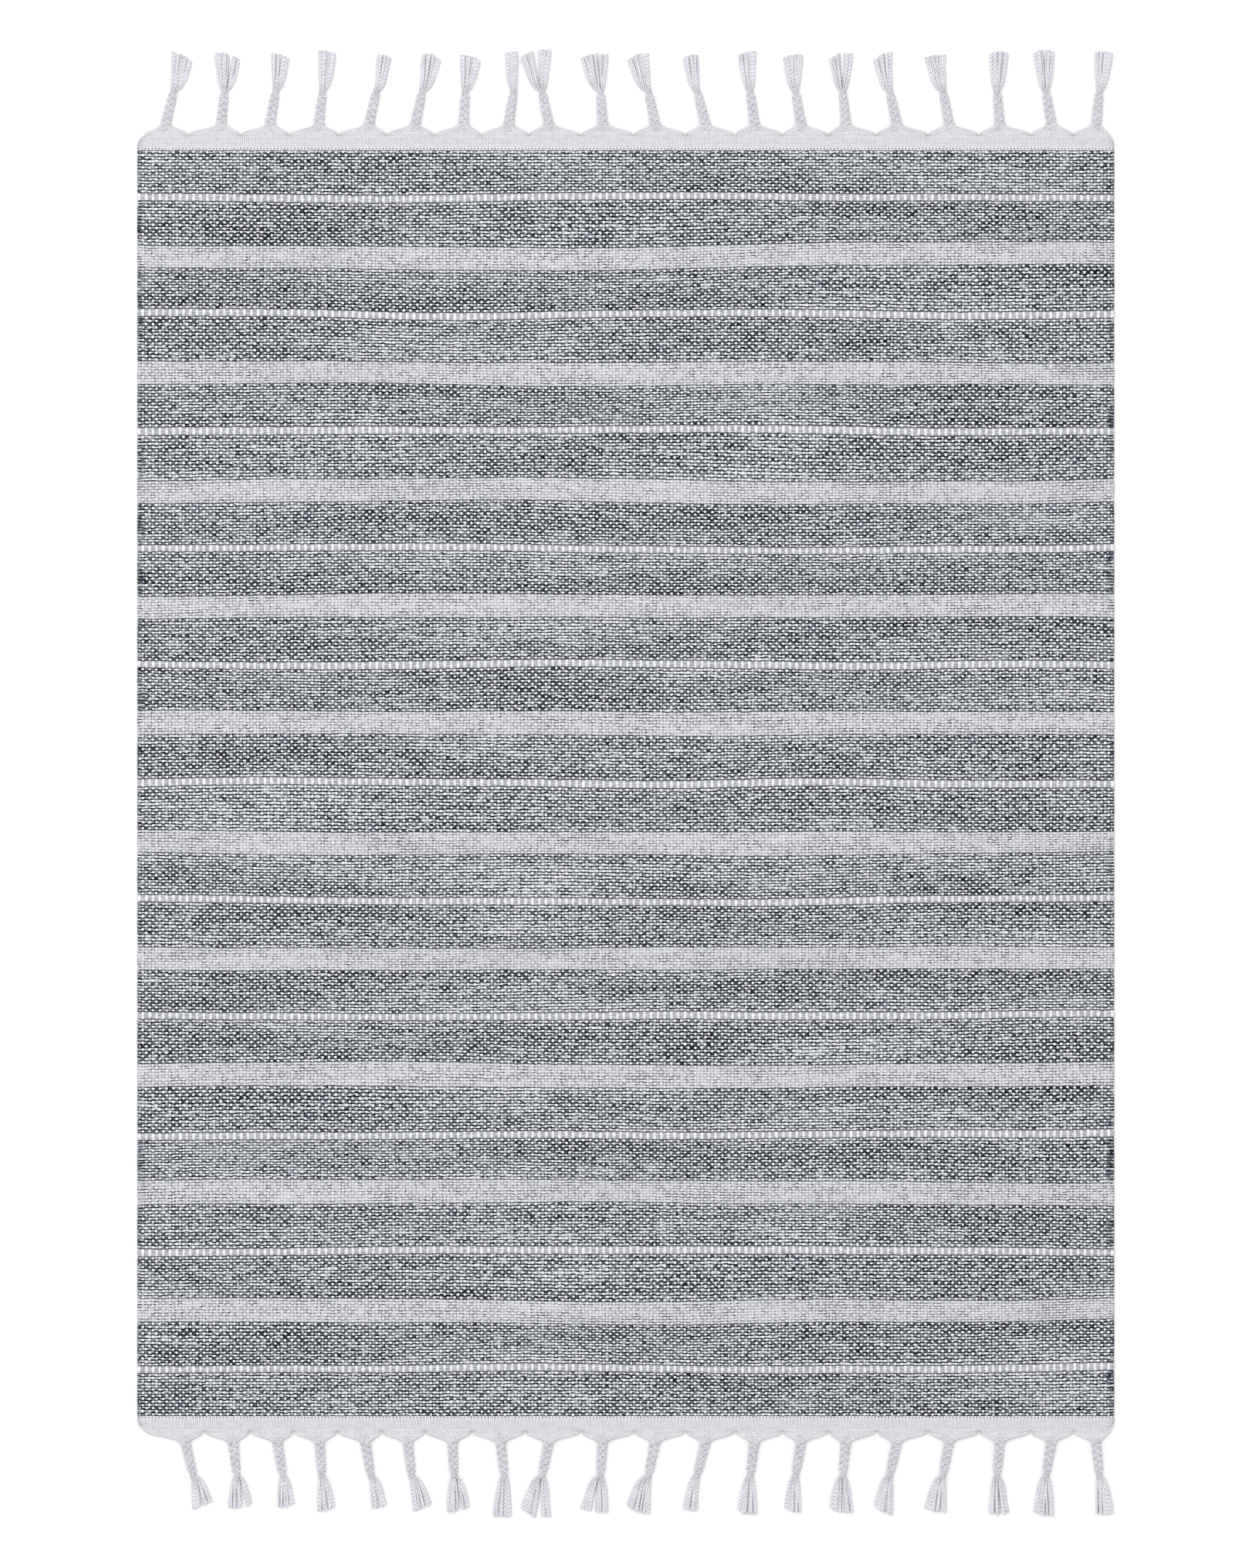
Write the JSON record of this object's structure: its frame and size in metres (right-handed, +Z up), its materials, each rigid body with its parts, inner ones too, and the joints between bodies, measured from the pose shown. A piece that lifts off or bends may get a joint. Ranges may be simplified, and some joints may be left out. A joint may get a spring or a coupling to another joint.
{
  "type": "runner rug",
  "caption": "Flat-woven cotton rug with heathered bands, pale stripes, thick cord stripes, woven headings and a braided tassel fringe at both ends.",
  "frame": {"origin": "middle of the rug's footprint, on the floor", "axes": "+X along the weft (width), +Y along the warp (length), +Z up"},
  "size_m": [0.61, 0.9176, 0.0046],
  "materials": {
    "heather_weave": "plain weave, white warp over heathered grey weft",
    "pale_weave": "plain weave, pale weft",
    "cord_weft": "thick multi-strand pale weft under white warp bars",
    "selvedge_weft": "weft-faced edge",
    "heading_weave": "dense fine white weave",
    "fringe_cotton": "plied cotton yarn, braided and bound"
  },
  "bodies": {
    "rug": {"heather_bands": "heather_weave", "cord_stripes": "cord_weft", "pale_stripe_01": "pale_weave", "pale_stripe_02": "pale_weave", "pale_stripe_03": "pale_weave", "pale_stripe_04": "pale_weave", "pale_stripe_05": "pale_weave", "pale_stripe_06": "pale_weave", "pale_stripe_07": "pale_weave", "pale_stripe_08": "pale_weave", "pale_stripe_09": "pale_weave", "pale_stripe_10": "pale_weave", "left_selvedge": "selvedge_weft", "right_selvedge": "selvedge_weft", "top_heading": "heading_weave", "bottom_heading": "heading_weave", "top_gathers": "fringe_cotton", "bottom_gathers": "fringe_cotton"},
    "tassel_top_01": {"tassel_top_01": "fringe_cotton"},
    "tassel_top_02": {"tassel_top_02": "fringe_cotton"},
    "tassel_top_03": {"tassel_top_03": "fringe_cotton"},
    "tassel_top_04": {"tassel_top_04": "fringe_cotton"},
    "tassel_top_05": {"tassel_top_05": "fringe_cotton"},
    "tassel_top_06": {"tassel_top_06": "fringe_cotton"},
    "tassel_top_07": {"tassel_top_07": "fringe_cotton"},
    "tassel_top_08": {"tassel_top_08": "fringe_cotton"},
    "tassel_top_09": {"tassel_top_09": "fringe_cotton"},
    "tassel_top_10": {"tassel_top_10": "fringe_cotton"},
    "tassel_top_11": {"tassel_top_11": "fringe_cotton"},
    "tassel_top_12": {"tassel_top_12": "fringe_cotton"},
    "tassel_top_13": {"tassel_top_13": "fringe_cotton"},
    "tassel_top_14": {"tassel_top_14": "fringe_cotton"},
    "tassel_top_15": {"tassel_top_15": "fringe_cotton"},
    "tassel_top_16": {"tassel_top_16": "fringe_cotton"},
    "tassel_top_17": {"tassel_top_17": "fringe_cotton"},
    "tassel_top_18": {"tassel_top_18": "fringe_cotton"},
    "tassel_top_19": {"tassel_top_19": "fringe_cotton"},
    "tassel_top_20": {"tassel_top_20": "fringe_cotton"},
    "tassel_bottom_01": {"tassel_bottom_01": "fringe_cotton"},
    "tassel_bottom_02": {"tassel_bottom_02": "fringe_cotton"},
    "tassel_bottom_03": {"tassel_bottom_03": "fringe_cotton"},
    "tassel_bottom_04": {"tassel_bottom_04": "fringe_cotton"},
    "tassel_bottom_05": {"tassel_bottom_05": "fringe_cotton"},
    "tassel_bottom_06": {"tassel_bottom_06": "fringe_cotton"},
    "tassel_bottom_07": {"tassel_bottom_07": "fringe_cotton"},
    "tassel_bottom_08": {"tassel_bottom_08": "fringe_cotton"},
    "tassel_bottom_09": {"tassel_bottom_09": "fringe_cotton"},
    "tassel_bottom_10": {"tassel_bottom_10": "fringe_cotton"},
    "tassel_bottom_11": {"tassel_bottom_11": "fringe_cotton"},
    "tassel_bottom_12": {"tassel_bottom_12": "fringe_cotton"},
    "tassel_bottom_13": {"tassel_bottom_13": "fringe_cotton"},
    "tassel_bottom_14": {"tassel_bottom_14": "fringe_cotton"},
    "tassel_bottom_15": {"tassel_bottom_15": "fringe_cotton"},
    "tassel_bottom_16": {"tassel_bottom_16": "fringe_cotton"},
    "tassel_bottom_17": {"tassel_bottom_17": "fringe_cotton"},
    "tassel_bottom_18": {"tassel_bottom_18": "fringe_cotton"},
    "tassel_bottom_19": {"tassel_bottom_19": "fringe_cotton"},
    "tassel_bottom_20": {"tassel_bottom_20": "fringe_cotton"}
  },
  "joints": [
    {"name": "tassel_top_01_lift", "type": "hinge", "parent": "rug", "child": "tassel_top_01", "pos_m": [-0.288, 0.41025, 0.0024], "axis": [1, 0, 0], "range_deg": [-90, 135]},
    {"name": "tassel_top_02_lift", "type": "hinge", "parent": "rug", "child": "tassel_top_02", "pos_m": [-0.253, 0.41025, 0.0024], "axis": [1, 0, 0], "range_deg": [-90, 135]},
    {"name": "tassel_top_03_lift", "type": "hinge", "parent": "rug", "child": "tassel_top_03", "pos_m": [-0.2225, 0.41025, 0.0024], "axis": [1, 0, 0], "range_deg": [-90, 135]},
    {"name": "tassel_top_04_lift", "type": "hinge", "parent": "rug", "child": "tassel_top_04", "pos_m": [-0.192, 0.41025, 0.0024], "axis": [1, 0, 0], "range_deg": [-90, 135]},
    {"name": "tassel_top_05_lift", "type": "hinge", "parent": "rug", "child": "tassel_top_05", "pos_m": [-0.161, 0.41025, 0.0024], "axis": [1, 0, 0], "range_deg": [-90, 135]},
    {"name": "tassel_top_06_lift", "type": "hinge", "parent": "rug", "child": "tassel_top_06", "pos_m": [-0.132, 0.41025, 0.0024], "axis": [1, 0, 0], "range_deg": [-90, 135]},
    {"name": "tassel_top_07_lift", "type": "hinge", "parent": "rug", "child": "tassel_top_07", "pos_m": [-0.1015, 0.41025, 0.0024], "axis": [1, 0, 0], "range_deg": [-90, 135]},
    {"name": "tassel_top_08_lift", "type": "hinge", "parent": "rug", "child": "tassel_top_08", "pos_m": [-0.0735, 0.41025, 0.0024], "axis": [1, 0, 0], "range_deg": [-90, 135]},
    {"name": "tassel_top_09_lift", "type": "hinge", "parent": "rug", "child": "tassel_top_09", "pos_m": [-0.048, 0.41025, 0.0024], "axis": [1, 0, 0], "range_deg": [-90, 135]},
    {"name": "tassel_top_10_lift", "type": "hinge", "parent": "rug", "child": "tassel_top_10", "pos_m": [-0.0145, 0.41025, 0.0024], "axis": [1, 0, 0], "range_deg": [-90, 135]},
    {"name": "tassel_top_11_lift", "type": "hinge", "parent": "rug", "child": "tassel_top_11", "pos_m": [0.0185, 0.41025, 0.0024], "axis": [1, 0, 0], "range_deg": [-90, 135]},
    {"name": "tassel_top_12_lift", "type": "hinge", "parent": "rug", "child": "tassel_top_12", "pos_m": [0.05, 0.41025, 0.0024], "axis": [1, 0, 0], "range_deg": [-90, 135]},
    {"name": "tassel_top_13_lift", "type": "hinge", "parent": "rug", "child": "tassel_top_13", "pos_m": [0.0805, 0.41025, 0.0024], "axis": [1, 0, 0], "range_deg": [-90, 135]},
    {"name": "tassel_top_14_lift", "type": "hinge", "parent": "rug", "child": "tassel_top_14", "pos_m": [0.1095, 0.41025, 0.0024], "axis": [1, 0, 0], "range_deg": [-90, 135]},
    {"name": "tassel_top_15_lift", "type": "hinge", "parent": "rug", "child": "tassel_top_15", "pos_m": [0.1375, 0.41025, 0.0024], "axis": [1, 0, 0], "range_deg": [-90, 135]},
    {"name": "tassel_top_16_lift", "type": "hinge", "parent": "rug", "child": "tassel_top_16", "pos_m": [0.1695, 0.41025, 0.0024], "axis": [1, 0, 0], "range_deg": [-90, 135]},
    {"name": "tassel_top_17_lift", "type": "hinge", "parent": "rug", "child": "tassel_top_17", "pos_m": [0.202, 0.41025, 0.0024], "axis": [1, 0, 0], "range_deg": [-90, 135]},
    {"name": "tassel_top_18_lift", "type": "hinge", "parent": "rug", "child": "tassel_top_18", "pos_m": [0.2335, 0.41025, 0.0024], "axis": [1, 0, 0], "range_deg": [-90, 135]},
    {"name": "tassel_top_19_lift", "type": "hinge", "parent": "rug", "child": "tassel_top_19", "pos_m": [0.266, 0.41025, 0.0024], "axis": [1, 0, 0], "range_deg": [-90, 135]},
    {"name": "tassel_top_20_lift", "type": "hinge", "parent": "rug", "child": "tassel_top_20", "pos_m": [0.2935, 0.41025, 0.0024], "axis": [1, 0, 0], "range_deg": [-90, 135]},
    {"name": "tassel_bottom_01_lift", "type": "hinge", "parent": "rug", "child": "tassel_bottom_01", "pos_m": [-0.2755, -0.41025, 0.0024], "axis": [-1, 0, 0], "range_deg": [-90, 135]},
    {"name": "tassel_bottom_02_lift", "type": "hinge", "parent": "rug", "child": "tassel_bottom_02", "pos_m": [-0.2455, -0.41025, 0.0024], "axis": [-1, 0, 0], "range_deg": [-90, 135]},
    {"name": "tassel_bottom_03_lift", "type": "hinge", "parent": "rug", "child": "tassel_bottom_03", "pos_m": [-0.218, -0.41025, 0.0024], "axis": [-1, 0, 0], "range_deg": [-90, 135]},
    {"name": "tassel_bottom_04_lift", "type": "hinge", "parent": "rug", "child": "tassel_bottom_04", "pos_m": [-0.1915, -0.41025, 0.0024], "axis": [-1, 0, 0], "range_deg": [-90, 135]},
    {"name": "tassel_bottom_05_lift", "type": "hinge", "parent": "rug", "child": "tassel_bottom_05", "pos_m": [-0.163, -0.41025, 0.0024], "axis": [-1, 0, 0], "range_deg": [-90, 135]},
    {"name": "tassel_bottom_06_lift", "type": "hinge", "parent": "rug", "child": "tassel_bottom_06", "pos_m": [-0.1365, -0.41025, 0.0024], "axis": [-1, 0, 0], "range_deg": [-90, 135]},
    {"name": "tassel_bottom_07_lift", "type": "hinge", "parent": "rug", "child": "tassel_bottom_07", "pos_m": [-0.1085, -0.41025, 0.0024], "axis": [-1, 0, 0], "range_deg": [-90, 135]},
    {"name": "tassel_bottom_08_lift", "type": "hinge", "parent": "rug", "child": "tassel_bottom_08", "pos_m": [-0.0785, -0.41025, 0.0024], "axis": [-1, 0, 0], "range_deg": [-90, 135]},
    {"name": "tassel_bottom_09_lift", "type": "hinge", "parent": "rug", "child": "tassel_bottom_09", "pos_m": [-0.048, -0.41025, 0.0024], "axis": [-1, 0, 0], "range_deg": [-90, 135]},
    {"name": "tassel_bottom_10_lift", "type": "hinge", "parent": "rug", "child": "tassel_bottom_10", "pos_m": [-0.0145, -0.41025, 0.0024], "axis": [-1, 0, 0], "range_deg": [-90, 135]},
    {"name": "tassel_bottom_11_lift", "type": "hinge", "parent": "rug", "child": "tassel_bottom_11", "pos_m": [0.0185, -0.41025, 0.0024], "axis": [-1, 0, 0], "range_deg": [-90, 135]},
    {"name": "tassel_bottom_12_lift", "type": "hinge", "parent": "rug", "child": "tassel_bottom_12", "pos_m": [0.05, -0.41025, 0.0024], "axis": [-1, 0, 0], "range_deg": [-90, 135]},
    {"name": "tassel_bottom_13_lift", "type": "hinge", "parent": "rug", "child": "tassel_bottom_13", "pos_m": [0.0805, -0.41025, 0.0024], "axis": [-1, 0, 0], "range_deg": [-90, 135]},
    {"name": "tassel_bottom_14_lift", "type": "hinge", "parent": "rug", "child": "tassel_bottom_14", "pos_m": [0.1095, -0.41025, 0.0024], "axis": [-1, 0, 0], "range_deg": [-90, 135]},
    {"name": "tassel_bottom_15_lift", "type": "hinge", "parent": "rug", "child": "tassel_bottom_15", "pos_m": [0.1375, -0.41025, 0.0024], "axis": [-1, 0, 0], "range_deg": [-90, 135]},
    {"name": "tassel_bottom_16_lift", "type": "hinge", "parent": "rug", "child": "tassel_bottom_16", "pos_m": [0.1695, -0.41025, 0.0024], "axis": [-1, 0, 0], "range_deg": [-90, 135]},
    {"name": "tassel_bottom_17_lift", "type": "hinge", "parent": "rug", "child": "tassel_bottom_17", "pos_m": [0.202, -0.41025, 0.0024], "axis": [-1, 0, 0], "range_deg": [-90, 135]},
    {"name": "tassel_bottom_18_lift", "type": "hinge", "parent": "rug", "child": "tassel_bottom_18", "pos_m": [0.2335, -0.41025, 0.0024], "axis": [-1, 0, 0], "range_deg": [-90, 135]},
    {"name": "tassel_bottom_19_lift", "type": "hinge", "parent": "rug", "child": "tassel_bottom_19", "pos_m": [0.266, -0.41025, 0.0024], "axis": [-1, 0, 0], "range_deg": [-90, 135]},
    {"name": "tassel_bottom_20_lift", "type": "hinge", "parent": "rug", "child": "tassel_bottom_20", "pos_m": [0.2935, -0.41025, 0.0024], "axis": [-1, 0, 0], "range_deg": [-90, 135]}
  ]
}
